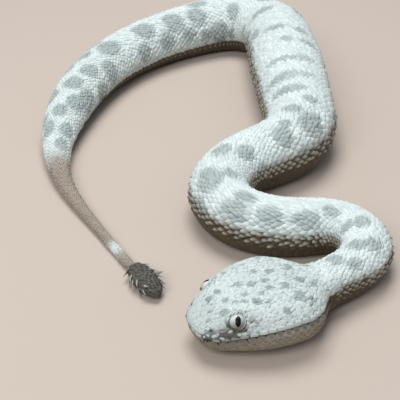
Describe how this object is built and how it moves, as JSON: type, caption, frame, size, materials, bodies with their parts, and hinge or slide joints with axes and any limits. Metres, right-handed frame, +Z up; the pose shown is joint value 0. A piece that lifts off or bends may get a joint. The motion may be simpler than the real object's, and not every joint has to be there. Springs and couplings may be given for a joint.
{
  "type": "spider-tailed horned viper",
  "caption": "Life-size still model of a spider-tailed horned viper at rest, body in loose bends, broad head low, lure-tipped tail brought forward beside it.",
  "frame": {"origin": "on the floor under the middle of the animal's box", "axes": "+Z up; +Y from the head towards the far bend of the body; the snout points towards -X and -Y"},
  "size_m": [0.1194, 0.2374, 0.0276],
  "materials": {
    "back_skin": "dry keeled scales, very pale bluish grey with grey blotches and a tan underside",
    "head_skin": "dry knobby small scales, very pale bluish grey with small grey spots",
    "chin_skin": "smooth tan-grey scales",
    "eye": "wet clear lens over a silver iris with an upright slit pupil",
    "lure_skin": "soft dark grey skin with pale pointed scales"
  },
  "bodies": {
    "root": {"eye_left": "eye", "eye_right": "eye", "head": "head_skin", "lower_jaw": "chin_skin", "neck": "back_skin", "body_1": "back_skin", "body_2": "back_skin", "body_3": "back_skin", "body_4": "back_skin", "body_5": "back_skin", "body_6": "back_skin", "body_7": "back_skin", "body_8": "back_skin", "body_9": "back_skin", "tail_base": "back_skin", "tail": "back_skin", "tail_lure": "lure_skin"}
  },
  "joints": []
}
